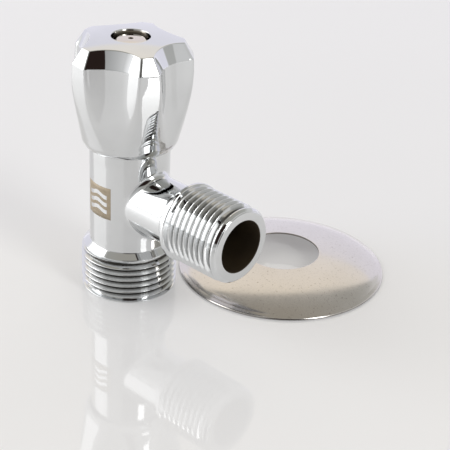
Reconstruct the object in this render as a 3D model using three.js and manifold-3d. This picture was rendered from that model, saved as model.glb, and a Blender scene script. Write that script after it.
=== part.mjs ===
// Angle stop valve with its loose wall escutcheon: a G 1/2 wall inlet on the side, a G 3/4 hose
// outlet underneath, a screw-down headwork and a five-lobed handle on top.
// Millimetres, +Z up. While it is built, the valve's axis is Z and the inlet branch runs along +X.
// The last lines move the whole set, so that its origin is the centre of its footprint.

import * as THREE from "three";
import { mergeVertices } from "three/addons/utils/BufferGeometryUtils.js";
import Module from "manifold-3d";

const wasm = await Module();
wasm.setup();

// ---------------------------------------------------------------- driving dimensions

const GAP = 0.3; // clearance between neighbouring pieces
const PIPE_PITCH = 1.814; // 14 threads per inch, on both pipe threads
const PIPE_DEPTH = 1.16;
const END_CHAMFER = 1.0;
const THREAD_RUNOUT = 0.4; // plain land left beside each run of ridges

const FINE = 40; // facets round the body, the thread and the escutcheon
const COARSE = 24; // facets round the inner pieces

// Valve body
const OUTLET_R = 13.22; // G 3/4
const OUTLET_BORE_R = 8.5;
const OUTLET_THREAD_TOP = 12.9;
const TUBE_R = 10.9;
const TUBE_BOTTOM = 14.4;
const BODY_TOP = 44.6;
const HEAD_BORE_R = 8.9; // thread bore for the bonnet
const CHAMBER_R = 8.3;
const CHAMBER_FLOOR = 19.8;
const CHAMBER_TOP = 34.9;
const SEAT_R = 5.0;
const SEAT_TOP = 21.0;
const SEAT_WEB_BOTTOM = 16.5;

// Inlet branch
const INLET_R = 10.478; // G 1/2
const INLET_BORE_R = 7.1;
const INLET_Z = 27.5;
const BRANCH_R = 8.4;
const INLET_SHOULDER_X = 20.3;
const INLET_THREAD_X = 22.6;
const INLET_FACE_X = 41.4;
const INLET_COLLAR = 1.2; // plain ring between the shoulder and the thread
const INLET_END_LAND = 1.2; // plain ring at the mouth

// Bonnet
const BONNET_BOTTOM = 35.2;
const BONNET_R = HEAD_BORE_R - GAP;
const BONNET_THREAD_DEPTH = 0.6;
const BONNET_PITCH = 2;
const FLANGE_R = 10.5;
const FLANGE_BOTTOM = 46.2;
const FLANGE_TOP = 47.4;
const BONNET_HEX = 17.6; // across flats
const BONNET_HEX_TOP = 51;
const NECK_R = 6.6;
const NECK_TOP = 56;
const SOCKET_TOP = 44.3; // top of the hexagonal guide for the plunger

// Spindle
const SHAFT_R = 4.3;
const SHAFT_BORE_R = SHAFT_R + GAP; // its bearing in the bonnet
const SPINDLE_BOTTOM = 32.2;
const SPINDLE_THREAD_R = 3.6;
const SPINDLE_THREAD_DEPTH = 0.5;
const SPINDLE_LEAD = 1.5; // the plunger climbs this much for each turn
const COLLAR_R = 5.4;
const COLLAR_BOTTOM = 41.6;
const COLLAR_TOP = 42.9;
const GROOVE_R = 3.3;
const GROOVE_WIDTH = 2;
const O_RING_GROOVES = { lower: 46.2, upper: 49.6 }; // lowest point of each groove
const O_RING_R = 0.5; // radius of the ring's section
const CLIP_GROOVE = [56.2, 57.4];
const SPLINE_BOTTOM = 58;
const SPINDLE_TOP = 64;
const SPLINE_TEETH = 20;
const SPLINE_R = 4.0;
const SPLINE_DEPTH = 0.4;
const SCREW_HOLE_BOTTOM = 54.5;

// Plunger and seat washer, shown closed
const PLUNGER_HEX = 11;
const PLUNGER_DISC_R = 7.0;
const PLUNGER_BOTTOM = 24.3;
const PLUNGER_DISC_TOP = 26.2;
const PLUNGER_TOP = 37;
const PLUNGER_BORE_BOTTOM = 28.2;
const WASHER_R = 6.6;
const WASHER_HOLE_R = 1.6;
const WASHER_SCREW_R = 1.3;
const WASHER_SCREW_TOP = 26.9;
const WASHER_SCREW_HEAD_R = 2.6;
const WASHER_SCREW_HEAD_BOTTOM = 19.6;

// Handle. Each level gives the outline at one height. A lobe is 2 x half degrees wide, its edges
// lie at radius edge and its middle at radius lobe; a flute between two lobes dips to radius flute.
const LOBES = 5;
const LOBE_TURN = -25.8; // degrees from +X to the first lobe
const HANDLE_LEVELS = [
  { z: 42.7, edge: 11.8, lobe: 11.8, flute: 11.8, half: 32 },
  { z: 43.6, edge: 12.6, lobe: 12.6, flute: 12.5, half: 31 },
  { z: 46.0, edge: 13.5, lobe: 13.4, flute: 13.0, half: 25 },
  { z: 49.0, edge: 14.3, lobe: 14.2, flute: 13.2, half: 18 },
  { z: 54.5, edge: 15.6, lobe: 15.4, flute: 13.2, half: 13.2 },
  { z: 60.0, edge: 16.5, lobe: 16.2, flute: 12.9, half: 12 },
  { z: 63.5, edge: 16.6, lobe: 16.35, flute: 12.7, half: 11 },
  { z: 67.3, edge: 16.5, lobe: 16.3, flute: 12.45, half: 10 },
  { z: 71.4, edge: 14.0, lobe: 13.95, flute: 10.5, half: 6.5 },
  { z: 72.4, edge: 6.5, lobe: 6.5, flute: 6.5, half: 18 },
];
const POINTS_PER_LOBE = 12;
const SKIRT_BORE_R = 11.3;
const SKIRT_BORE_TOP = 53;
const POCKET_R = 10.6;
const POCKET_TOP = 62.5;
const HUB_R = 8.5;
const HUB_BOTTOM = 57.6;
const INSERT_HEX = 12.6;
const INSERT_BOTTOM = 58.3;
const WEB_BOTTOM = 64.5;
const WEB_TOP = 66.5;
const RECESS_R = 5.1;
const SCREW_R = 2.0;
const SCREW_HEAD_R = 3.6;
const SCREW_HEAD = [67.7, 69.6];
const SCREW_BOTTOM = 55;
const LOCK_WASHER = [66.8, 67.4];
const LOCK_WASHER_R = 4.0;
const CAP_R = 4.8;
const CAP_SKIRT_R = 4.0;
const CAP_SKIRT_BOTTOM = 68;
const CAP_CEILING = 70.1;
const CAP_EDGE = 70.5;
const CAP_FACE_R = 3.6;
const CAP_FACE_EDGE = 71.55;
const CAP_CROWN = 71.7;
const CAP_DIMPLE = { r: 0.65, depth: 0.3 };

// Escutcheon: an elliptic dome with a rolled edge, lying beside the valve
const PLATE_CENTRE = [24.6, 37.2];
const PLATE_R = 29.6;
const PLATE_HOLE_R = 10.75;
const PLATE_SHEET = 0.7;
const PLATE_SEAT = { inner: 27.6, outer: 29.3 }; // the ring that lies on the wall
const PLATE_EDGE_HEIGHT = 0.35;
const DOME_HEIGHT = 5.8;
const DOME_R = 29.4; // where the dome would come down to the wall
const DOME_POWER = 0.6;
const DOME_EDGE_R = 28.4;

// ---------------------------------------------------------------- geometry helpers

const rad = THREE.MathUtils.degToRad;

// Joins equal vertices, drops the slivers at the poles and turns the faces outwards.
function welded(geometry) {
  const bare = geometry.clone();
  bare.deleteAttribute("normal");
  bare.deleteAttribute("uv");
  const merged = mergeVertices(bare);
  const position = merged.getAttribute("position");
  const corners = [new THREE.Vector3(), new THREE.Vector3(), new THREE.Vector3()];
  const kept = [];
  let volume = 0;
  for (let i = 0; i < merged.index.count; i += 3) {
    const face = [0, 1, 2].map((k) => merged.index.getX(i + k));
    if (new Set(face).size < 3) continue;
    kept.push(face);
    face.forEach((vertex, k) => corners[k].fromBufferAttribute(position, vertex));
    volume += corners[0].dot(corners[1].cross(corners[2]));
  }
  merged.setIndex(kept.flatMap(([a, b, c]) => (volume < 0 ? [a, c, b] : [a, b, c])));
  return merged;
}

// A closed geometry as a solid that can be joined and cut.
function solid(geometry) {
  const closed = welded(geometry);
  const vertProperties = new Float32Array(closed.getAttribute("position").array);
  const triVerts = new Uint32Array(closed.index.array);
  return new wasm.Manifold(new wasm.Mesh({ numProp: 3, vertProperties, triVerts }));
}

function geometryOf(body) {
  const mesh = body.getMesh();
  const geometry = new THREE.BufferGeometry();
  geometry.setAttribute("position", new THREE.BufferAttribute(mesh.vertProperties, 3));
  geometry.setIndex(new THREE.BufferAttribute(mesh.triVerts, 1));
  return geometry;
}

// Turns a closed outline of [radius, height] points about Z.
function turned(outline, facets = COARSE) {
  const points = [...outline, outline[0]].map(([r, z]) => new THREE.Vector2(r, z));
  return new THREE.LatheGeometry(points, facets).rotateX(Math.PI / 2);
}

function rod(radius, bottom, top, facets = COARSE) {
  return turned([[0, bottom], [radius, bottom], [radius, top], [0, top]], facets);
}

function ring(inner, outer, bottom, top, facets = COARSE) {
  return turned([[inner, bottom], [outer, bottom], [outer, top], [inner, top]], facets);
}

// A prism of the given flat outline, standing on height bottom.
function prism(shape, bottom, top, curveSegments = 8) {
  const options = { depth: top - bottom, bevelEnabled: false, curveSegments };
  return new THREE.ExtrudeGeometry(shape, options).translate(0, 0, bottom);
}

function polar(radius, angle) {
  return new THREE.Vector2(radius * Math.cos(angle), radius * Math.sin(angle));
}

// A closed shape with evenly spaced corners, at a radius that may change from corner to corner.
function polarShape(radiusAt, count) {
  const corners = Array.from({ length: count }, (_, k) => polar(radiusAt(k), (2 * Math.PI * k) / count));
  return new THREE.Shape(corners);
}

function hexagon(acrossFlats) {
  return polarShape(() => acrossFlats / Math.sqrt(3), 6);
}

function star(teeth, outer, depth) {
  return polarShape((k) => (k % 2 ? outer - depth : outer), teeth * 2);
}

// Outline points of a run of thread ridges between two heights, from the first to the last.
function ridges(crest, depth, from, to, pitch) {
  const count = Math.floor((to - from) / pitch);
  const points = [];
  for (let k = 0; k < count; k += 1) {
    const start = from + k * pitch;
    points.push([crest - depth, start], [crest, start + pitch * 0.5]);
  }
  points.push([crest - depth, from + count * pitch]);
  return points;
}

// ---------------------------------------------------------------- valve body

function valveBody() {
  const outside = turned([
    [0, 0],
    [OUTLET_R - END_CHAMFER, 0],
    ...ridges(OUTLET_R, PIPE_DEPTH, END_CHAMFER, OUTLET_THREAD_TOP - THREAD_RUNOUT, PIPE_PITCH),
    [OUTLET_R, OUTLET_THREAD_TOP - THREAD_RUNOUT],
    [OUTLET_R, OUTLET_THREAD_TOP],
    [TUBE_R, TUBE_BOTTOM],
    [TUBE_R, BODY_TOP],
    [0, BODY_TOP],
  ], FINE).rotateZ(Math.PI / FINE);
  const threadStart = INLET_THREAD_X + INLET_COLLAR;
  const threadEnd = INLET_FACE_X - END_CHAMFER - INLET_END_LAND;
  const branch = turned([
    [0, SEAT_R],
    [BRANCH_R, SEAT_R],
    [BRANCH_R, INLET_SHOULDER_X],
    [INLET_R, INLET_THREAD_X],
    [INLET_R, threadStart],
    ...ridges(INLET_R, PIPE_DEPTH, threadStart + THREAD_RUNOUT, threadEnd, PIPE_PITCH),
    [INLET_R, threadEnd + THREAD_RUNOUT],
    [INLET_R, INLET_FACE_X - END_CHAMFER],
    [INLET_R - END_CHAMFER, INLET_FACE_X],
    [0, INLET_FACE_X],
  ], FINE).rotateY(Math.PI / 2).translate(0, 0, INLET_Z);
  const seatLip = 1.2;
  const inside = turned([
    [0, -1],
    [OUTLET_BORE_R, -1],
    [OUTLET_BORE_R, SEAT_WEB_BOTTOM - 2],
    [SEAT_R, SEAT_WEB_BOTTOM],
    [SEAT_R, SEAT_TOP],
    [SEAT_R + seatLip, SEAT_TOP],
    [SEAT_R + seatLip, CHAMBER_FLOOR],
    [CHAMBER_R, CHAMBER_FLOOR],
    [CHAMBER_R, CHAMBER_TOP],
    [HEAD_BORE_R, CHAMBER_TOP],
    [HEAD_BORE_R, BODY_TOP + 1],
    [0, BODY_TOP + 1],
  ], FINE).rotateZ(Math.PI / FINE);
  const inletBore = rod(INLET_BORE_R, SEAT_R + 2 * seatLip, INLET_FACE_X + 1)
    .rotateY(Math.PI / 2)
    .translate(0, 0, INLET_Z);
  const cast = solid(outside).add(solid(branch));
  return geometryOf(cast.subtract(solid(inside)).subtract(solid(inletBore)));
}

// ---------------------------------------------------------------- headwork

function bonnet() {
  const barrel = turned([
    [0, BONNET_BOTTOM],
    ...ridges(BONNET_R, BONNET_THREAD_DEPTH, BONNET_BOTTOM, BODY_TOP, BONNET_PITCH),
    [BONNET_R - BONNET_THREAD_DEPTH, FLANGE_BOTTOM],
    [FLANGE_R, FLANGE_BOTTOM],
    [FLANGE_R, FLANGE_TOP],
    [NECK_R, FLANGE_TOP],
    [NECK_R, NECK_TOP],
    [0, NECK_TOP],
  ]);
  const spannerHex = prism(hexagon(BONNET_HEX), FLANGE_TOP - 0.2, BONNET_HEX_TOP);
  const guide = prism(hexagon(PLUNGER_HEX + 2 * GAP), BONNET_BOTTOM - 1, SOCKET_TOP);
  const bearing = rod(SHAFT_BORE_R, SOCKET_TOP - 1, NECK_TOP + 1);
  const outside = solid(barrel).add(solid(spannerHex));
  return geometryOf(outside.subtract(solid(guide)).subtract(solid(bearing)));
}

function bonnetGasket() {
  return ring(HEAD_BORE_R, TUBE_R - GAP, BODY_TOP + GAP, FLANGE_BOTTOM - GAP);
}

// A groove across the shaft, as outline points from its lower to its upper edge.
function shaftGroove(bottom, top) {
  return [[SHAFT_R, bottom], [GROOVE_R, bottom], [GROOVE_R, top], [SHAFT_R, top]];
}

function spindle() {
  const { lower, upper } = O_RING_GROOVES;
  const shaft = turned([
    [0, SPINDLE_BOTTOM],
    ...ridges(SPINDLE_THREAD_R, SPINDLE_THREAD_DEPTH, SPINDLE_BOTTOM, COLLAR_BOTTOM - 1, SPINDLE_LEAD),
    [SPINDLE_THREAD_R - SPINDLE_THREAD_DEPTH, COLLAR_BOTTOM],
    [COLLAR_R, COLLAR_BOTTOM],
    [COLLAR_R, COLLAR_TOP],
    [SHAFT_R, COLLAR_TOP],
    ...shaftGroove(lower, lower + GROOVE_WIDTH),
    ...shaftGroove(upper, upper + GROOVE_WIDTH),
    ...shaftGroove(...CLIP_GROOVE),
    [SHAFT_R, SPLINE_BOTTOM],
    [0, SPLINE_BOTTOM],
  ]);
  const spline = prism(star(SPLINE_TEETH, SPLINE_R, SPLINE_DEPTH), SPLINE_BOTTOM - 0.2, SPINDLE_TOP);
  const screwHole = rod(SCREW_R + GAP, SCREW_HOLE_BOTTOM, SPINDLE_TOP + 1, 16);
  return geometryOf(solid(shaft).add(solid(spline)).subtract(solid(screwHole)));
}

function thrustWasher() {
  return ring(SHAFT_R + GAP, COLLAR_R, COLLAR_TOP + GAP, SOCKET_TOP - GAP);
}

function oRing(grooveBottom) {
  const middle = (GROOVE_R + SHAFT_BORE_R) / 2;
  const height = grooveBottom + GROOVE_WIDTH / 2;
  const sides = 6;
  const section = Array.from({ length: sides }, (_, k) => {
    const { x, y } = polar(O_RING_R, (2 * Math.PI * k) / sides);
    return [middle + x, height + y];
  });
  return turned(section, 24);
}

// An open ring that springs into the groove above the bonnet.
function circlip() {
  const [inner, outer, opening] = [GROOVE_R + GAP, SHAFT_R + 1.4, rad(25)];
  const shape = new THREE.Shape();
  shape.absarc(0, 0, outer, opening, 2 * Math.PI - opening, false);
  shape.absarc(0, 0, inner, 2 * Math.PI - opening, opening, true);
  return prism(shape, CLIP_GROOVE[0] + 0.15, CLIP_GROOVE[1] - 0.25, 24);
}

// ---------------------------------------------------------------- plunger

function plunger() {
  const disc = ring(WASHER_HOLE_R, PLUNGER_DISC_R, PLUNGER_BOTTOM, PLUNGER_DISC_TOP);
  const nut = prism(hexagon(PLUNGER_HEX), PLUNGER_BOTTOM + 0.5, PLUNGER_TOP);
  const screwHole = rod(WASHER_HOLE_R, PLUNGER_BOTTOM - 1, WASHER_SCREW_TOP + GAP);
  const threadBore = rod(SPINDLE_THREAD_R + GAP, PLUNGER_BORE_BOTTOM, PLUNGER_TOP + 1);
  const outside = solid(disc).add(solid(nut));
  return geometryOf(outside.subtract(solid(screwHole)).subtract(solid(threadBore)));
}

function seatWasher() {
  return ring(WASHER_HOLE_R, WASHER_R, SEAT_TOP + GAP, PLUNGER_BOTTOM - GAP);
}

function slot(width, bottom, top) {
  return new THREE.BoxGeometry(20, width, top - bottom).translate(0, 0, (top + bottom) / 2);
}

function seatWasherScrew() {
  const body = turned([
    [0, WASHER_SCREW_HEAD_BOTTOM],
    [WASHER_SCREW_HEAD_R, WASHER_SCREW_HEAD_BOTTOM],
    [WASHER_SCREW_HEAD_R, SEAT_TOP],
    [WASHER_SCREW_R, SEAT_TOP],
    [WASHER_SCREW_R, WASHER_SCREW_TOP],
    [0, WASHER_SCREW_TOP],
  ], 20);
  const cut = slot(0.7, WASHER_SCREW_HEAD_BOTTOM - 1, WASHER_SCREW_HEAD_BOTTOM + 0.7);
  return geometryOf(solid(body).subtract(solid(cut)));
}

// ---------------------------------------------------------------- handle

// Radius, at an angle from its middle, of the arc through a point at radius edge on each side
// and a point at radius middle between them.
function arcRadius(edge, toEdge, middle, angle) {
  const halfChord = edge * Math.sin(toEdge);
  const depth = edge * Math.cos(toEdge) - middle;
  const arc = (halfChord ** 2 + depth ** 2) / (2 * depth);
  const centre = middle + arc;
  const reach = Math.sqrt(arc ** 2 - (centre * Math.sin(angle)) ** 2);
  return centre * Math.cos(angle) - Math.sign(arc) * reach;
}

// One corner of the outline, counted anticlockwise round the handle: the first third of a
// lobe's share lies on the lobe, the rest on the flute that follows it.
function outlineCorner(level, index) {
  const onLobe = POINTS_PER_LOBE / 3;
  const step = index % POINTS_PER_LOBE;
  const lobeAngle = rad(LOBE_TURN) + (2 * Math.PI * Math.floor(index / POINTS_PER_LOBE)) / LOBES;
  const half = rad(level.half);
  if (step <= onLobe) {
    const fromLobe = half * ((2 * step) / onLobe - 1);
    return polar(arcRadius(level.edge, half, level.lobe, fromLobe), lobeAngle + fromLobe);
  }
  const halfFlute = Math.PI / LOBES - half;
  const fromFlute = halfFlute * ((2 * (step - onLobe)) / (POINTS_PER_LOBE - onLobe) - 1);
  const fluteAngle = lobeAngle + Math.PI / LOBES;
  return polar(arcRadius(level.edge, halfFlute, level.flute, fromFlute), fluteAngle + fromFlute);
}

// The handle's outside: a lathe shape whose rings are moved out to the lobed outlines.
function lobedBlock() {
  const facets = LOBES * POINTS_PER_LOBE;
  const [first, last] = [HANDLE_LEVELS[0], HANDLE_LEVELS.at(-1)];
  const profile = [[0, first.z], ...HANDLE_LEVELS.map(({ z, edge }) => [edge, z]), [0, last.z]];
  const points = profile.map(([r, z]) => new THREE.Vector2(r, z));
  const block = new THREE.LatheGeometry(points, facets).rotateX(Math.PI / 2);
  const position = block.getAttribute("position");
  for (let facet = 0; facet <= facets; facet += 1) {
    HANDLE_LEVELS.forEach((level, k) => {
      const corner = outlineCorner(level, facet % facets);
      position.setXY(facet * points.length + k + 1, corner.x, corner.y);
    });
  }
  return block;
}

function handleShell() {
  const bottom = HANDLE_LEVELS[0].z;
  const top = HANDLE_LEVELS.at(-1).z;
  const skirt = turned([
    [0, bottom - 1],
    [SKIRT_BORE_R, bottom - 1],
    [SKIRT_BORE_R, SKIRT_BORE_TOP],
    [POCKET_R, SKIRT_BORE_TOP + 1],
    [POCKET_R, POCKET_TOP],
    [HUB_R, POCKET_TOP],
    [HUB_R, HUB_BOTTOM],
    [0, HUB_BOTTOM],
  ], FINE);
  const socket = prism(hexagon(INSERT_HEX + 2 * GAP), HUB_BOTTOM - 1, WEB_BOTTOM);
  const screwHole = rod(SCREW_R + GAP, WEB_BOTTOM - 1, WEB_TOP + 1, 20);
  const recess = rod(RECESS_R, WEB_TOP, top + 1);
  return geometryOf(
    solid(lobedBlock())
      .subtract(solid(skirt))
      .subtract(solid(socket))
      .subtract(solid(screwHole))
      .subtract(solid(recess)),
  );
}

function handleInsert() {
  const block = prism(hexagon(INSERT_HEX), INSERT_BOTTOM, WEB_BOTTOM - GAP);
  const splines = star(SPLINE_TEETH, SPLINE_R + GAP, SPLINE_DEPTH);
  return geometryOf(solid(block).subtract(solid(prism(splines, INSERT_BOTTOM - 1, WEB_BOTTOM))));
}

function handleScrew() {
  const [headBottom, headTop] = SCREW_HEAD;
  const body = turned([
    [0, SCREW_BOTTOM],
    [SCREW_R, SCREW_BOTTOM],
    [SCREW_R, headBottom],
    [SCREW_HEAD_R, headBottom],
    [SCREW_HEAD_R, headTop - 0.5],
    [SCREW_HEAD_R - 0.8, headTop],
    [0, headTop],
  ], 20);
  const cut = slot(0.9, headTop - 1, headTop + 1);
  const cross = slot(0.9, headTop - 1, headTop + 1).rotateZ(Math.PI / 2);
  const short = solid(rod(SCREW_HEAD_R - 0.9, headTop - 1, headTop + 1, 20));
  return geometryOf(solid(body).subtract(solid(cut).add(solid(cross)).intersect(short)));
}

function lockWasher() {
  return ring(SCREW_R + GAP, LOCK_WASHER_R, ...LOCK_WASHER);
}

function handleCap() {
  const dimpleFloor = CAP_CROWN - CAP_DIMPLE.depth;
  return turned([
    [CAP_SKIRT_R, CAP_SKIRT_BOTTOM],
    [CAP_R, CAP_SKIRT_BOTTOM],
    [CAP_R, CAP_EDGE],
    [CAP_FACE_R, CAP_FACE_EDGE],
    [CAP_FACE_R / 2, CAP_CROWN - 0.03],
    [CAP_DIMPLE.r, CAP_CROWN],
    [CAP_DIMPLE.r, dimpleFloor],
    [0, dimpleFloor],
    [0, CAP_CEILING],
    [CAP_SKIRT_R, CAP_CEILING],
  ]);
}

// ---------------------------------------------------------------- escutcheon

// Points of one face of the dome, from its hole outwards to a radius, closer together near the rim.
function domeFace(drop, toRadius, steps = 7) {
  return Array.from({ length: steps + 1 }, (_, k) => {
    const r = PLATE_HOLE_R + (toRadius - PLATE_HOLE_R) * Math.sin((k / steps) * (Math.PI / 2));
    return [r, DOME_HEIGHT * (1 - (r / DOME_R) ** 2) ** DOME_POWER - drop];
  });
}

function escutcheon() {
  return turned([
    ...domeFace(0, DOME_EDGE_R),
    [PLATE_R - 0.3, 2 * PLATE_EDGE_HEIGHT],
    [PLATE_R, PLATE_EDGE_HEIGHT],
    [PLATE_SEAT.outer, 0],
    [PLATE_SEAT.inner, 0],
    ...domeFace(PLATE_SHEET, PLATE_SEAT.inner).reverse(),
  ], FINE);
}

// ---------------------------------------------------------------- finishes

function finish(color, roughness, metalness) {
  return new THREE.MeshStandardMaterial({ color, roughness, metalness });
}

const chrome = finish("#dfe2e4", 0.06, 1);
const brass = finish("#c8a45a", 0.3, 1);
const steel = finish("#b9b9bb", 0.3, 1);
const spunSteel = finish("#c9bfb4", 0.28, 1);
const rubber = finish("#1d1d1f", 0.8, 0);
const fibre = finish("#8c3b2e", 0.85, 0);
const slipPlastic = finish("#f1f0ea", 0.5, 0);
const hubPlastic = finish("#e6e4dc", 0.55, 0);

// ---------------------------------------------------------------- assembly

function part(name, geometry, material) {
  const mesh = new THREE.Mesh(welded(geometry), material.clone());
  mesh.name = name;
  return mesh;
}

const fixedPieces = new THREE.Group().add(
  part("valve_body", valveBody(), chrome),
  part("bonnet", bonnet(), brass),
  part("bonnet_gasket", bonnetGasket(), fibre),
  part("spindle_thrust_washer", thrustWasher(), slipPlastic),
);

const turningPieces = new THREE.Group().add(
  part("spindle", spindle(), brass),
  part("spindle_o_ring_lower", oRing(O_RING_GROOVES.lower), rubber),
  part("spindle_o_ring_upper", oRing(O_RING_GROOVES.upper), rubber),
  part("spindle_circlip", circlip(), steel),
  part("handle_shell", handleShell(), chrome),
  part("handle_insert", handleInsert(), hubPlastic),
  part("handle_screw", handleScrew(), steel),
  part("handle_screw_washer", lockWasher(), steel),
  part("handle_cap", handleCap(), chrome),
);

const liftingPieces = new THREE.Group().add(
  part("plunger", plunger(), brass),
  part("seat_washer", seatWasher(), rubber),
  part("seat_washer_screw", seatWasherScrew(), brass),
);

const plate = part("escutcheon", escutcheon(), spunSteel);
plate.position.set(...PLATE_CENTRE, 0);

const valve = new THREE.Group().add(fixedPieces, turningPieces, liftingPieces);
const set = new THREE.Group().add(valve, plate);

// The origin is the centre of the whole set's footprint, on the surface it stands on.
const group = new THREE.Group().add(set);
const footprint = new THREE.Box3().setFromObject(set);
const middle = footprint.getCenter(new THREE.Vector3());
set.position.set(-middle.x, -middle.y, -footprint.min.z);

export default group;
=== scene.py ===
"""Looks of the angle stop valve and its loose wall escutcheon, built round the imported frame.

Shapes are worked out in millimetres about a piece's own axis, and placed in the row frame in
metres. The valve's axis is +Z, its inlet branch runs along +X.
"""

import math

import bmesh
import bpy
import numpy as np
from mathutils import Matrix, Vector


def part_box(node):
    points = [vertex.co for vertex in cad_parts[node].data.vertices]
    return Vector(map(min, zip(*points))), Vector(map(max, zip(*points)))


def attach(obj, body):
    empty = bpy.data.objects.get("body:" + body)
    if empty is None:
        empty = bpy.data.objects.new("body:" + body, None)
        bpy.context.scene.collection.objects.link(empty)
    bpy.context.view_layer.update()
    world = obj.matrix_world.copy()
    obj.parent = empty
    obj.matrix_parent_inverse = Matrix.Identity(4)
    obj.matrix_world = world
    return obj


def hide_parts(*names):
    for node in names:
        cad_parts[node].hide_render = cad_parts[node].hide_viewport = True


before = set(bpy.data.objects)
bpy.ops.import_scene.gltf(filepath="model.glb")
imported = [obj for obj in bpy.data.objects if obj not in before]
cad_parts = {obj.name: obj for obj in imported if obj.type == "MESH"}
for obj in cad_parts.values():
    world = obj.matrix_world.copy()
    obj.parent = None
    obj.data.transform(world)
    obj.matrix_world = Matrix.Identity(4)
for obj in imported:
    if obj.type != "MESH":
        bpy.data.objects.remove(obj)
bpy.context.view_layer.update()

MM = 0.001
TAU = 2 * math.pi


# ---------------------------------------------------------------- places, from the frame

def box_mm(node):
    """Lowest and highest corner of a CAD node, in millimetres."""
    low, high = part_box(node)
    return np.array(low) / MM, np.array(high) / MM


def axis_of(node):
    """The middle of a node in plan, in millimetres, as a point on the floor."""
    low, high = box_mm(node)
    return np.array([(low[0] + high[0]) / 2, (low[1] + high[1]) / 2, 0.0])


VALVE_AT = axis_of("spindle")
PLATE_AT = axis_of("escutcheon")
BODY_HIGH = box_mm("valve_body")[1]
HANDLE_LOW, HANDLE_HIGH = box_mm("handle_shell")
CAP_LOW, CAP_HIGH = box_mm("handle_cap")
PLATE_LOW, PLATE_HIGH = box_mm("escutcheon")

# ---------------------------------------------------------------- driving dimensions, mm

# Both pipe threads are 55 degree threads with 14 turns to the inch.
PITCH = 1.814
FLANK = math.radians(62.5)  # a flank's slope from the thread's axis
THREAD_ARC = 0.07  # radius of the arcs at crest and root, in pitches
THREAD_FADE = 0.4  # pitches over which a ridge fades in and out at the thread's ends
THREAD_FLOOR = 1.9  # how far below the crest a faded ridge lies, in half depths

# The tube and the outlet
TUBE_R = 10.9
TUBE_BOTTOM = 14.4
BODY_TOP = BODY_HIGH[2]
OUTLET_R = 13.22  # G 3/4
OUTLET_BORE_R = 8.5
OUTLET_LIP_R = 13.1
OUTLET_THREAD_BOTTOM = 0.8
OUTLET_CREST_Z = 0.35  # of the crest line, where the rows start
OUTLET_THREAD_TOP = 12.4
OUTLET_COLLAR_R = 12.67
OUTLET_COLLAR_TOP = 12.95

# The waterway inside
SEAT_R = 5.0
SEAT_TOP = 21.0
SEAT_LIP_R = 6.2
SEAT_WEB_BOTTOM = 16.5
CHAMBER_R = 8.3
CHAMBER_FLOOR = 19.8
CHAMBER_TOP = 34.9
HEAD_BORE_R = 8.9  # for the bonnet

# The branch and the inlet. X counts from the tube's axis.
INLET_R = 10.478  # G 1/2
INLET_BORE_R = 7.1
INLET_BORE_START_X = 7.4
INLET_Z = 27.5
INLET_FACE_X = BODY_HIGH[0] - VALVE_AT[0]
BRANCH_R = 8.4
BRANCH_FILLET = 2.0
BRANCH_END_X = 19.6
SHOULDER_X = 20.1
NECK_R = 9.75
RING_R = 10.8
RING_X = 22.9
INLET_THREAD_X = 24.3
INLET_LIP_R = INLET_R - 0.25
INLET_LIP = 1.75  # length of the plain end beyond the thread

# The patch of the tube that holds the branch
PATCH_BOTTOM = 15.6
PATCH_TOP = 39.4

# The handle and its cap
HANDLE_BOTTOM = HANDLE_LOW[2]
HANDLE_TOP = HANDLE_HIGH[2]
LOBES = 5
LOBE_TURN = math.radians(-25.8)
FOOT_R = 11.8
FOOT_ROUND = 0.5
FOOT_ROUND_Z = 43.21  # of the middle of the rounding at the foot
RECESS_R = 5.1
RECESS_EDGE = 0.3
RECESS_FLOOR = 66.5
SCREW_HOLE_R = 2.3
SOCKET_HEX = 13.2  # across the flats of the hub's socket
SOCKET_TOP = 64.5
SOCKET_BOTTOM = 57.6
SOCKET_WALL_R = 8.5
HOLLOW_R = 10.6
HOLLOW_TOP = 62.5
HOLLOW_BOTTOM = 54.0
SKIRT_R = 11.3  # inside radius of the hollow's wider mouth
CAP_R = 4.8
CAP_WALL = 0.8
CAP_DEPTH = 2.1  # of the hollow under it
CAP_FACE_R = 3.6
CAP_EDGE_FALL = 1.2
CAP_FACE_FALL = 0.15
CAP_DIMPLE_R = 0.65
CAP_DIMPLE_DEPTH = 0.3

# The escutcheon
PLATE_R = (PLATE_HIGH[0] - PLATE_LOW[0]) / 2
PLATE_HOLE_R = 10.75
PLATE_SHEET = 0.5
PLATE_EDGE_HEIGHT = 0.35
PLATE_EDGE_ROUND = 0.3
PLATE_FOOT = 1.6  # width of the flat ring that it lies on
DOME_R = 29.4
DOME_HEIGHT = 5.8
DOME_POWER = 0.6
DOME_EDGE_R = 28.4

# The badge on the tube
BADGE_MIDDLE = math.radians(-94.9)
BADGE_SIZE = 9.3
BADGE_Z = 28.45
BADGE_LIFT = 0.012
BADGE_SHEET = 0.1

# How much painted shade darkens some places, from 0 to 1. In the threads a low power darkens
# the flanks too, and a high one only the root.
OUTLET_GROOVE_SHADE_POWER = 1.1
INLET_GROOVE_SHADE_POWER = 2
RECESS_PAINTED_SHADE = 0.9
DIMPLE_PAINTED_SHADE = 0.8
EDGE_PAINTED_SHADE = 0.75
PAINTED_EDGE_SHADE_TOP = 0.45  # the height up to which the plate's rim gets painted shade

BODY_COLUMNS = 144  # round the tube, a multiple of 4
SIDE_ROWS = 36  # up each side of the patch that holds the branch
CAP_COLUMNS = 96
PLATE_COLUMNS = 192


# ---------------------------------------------------------------- mesh helpers

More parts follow.
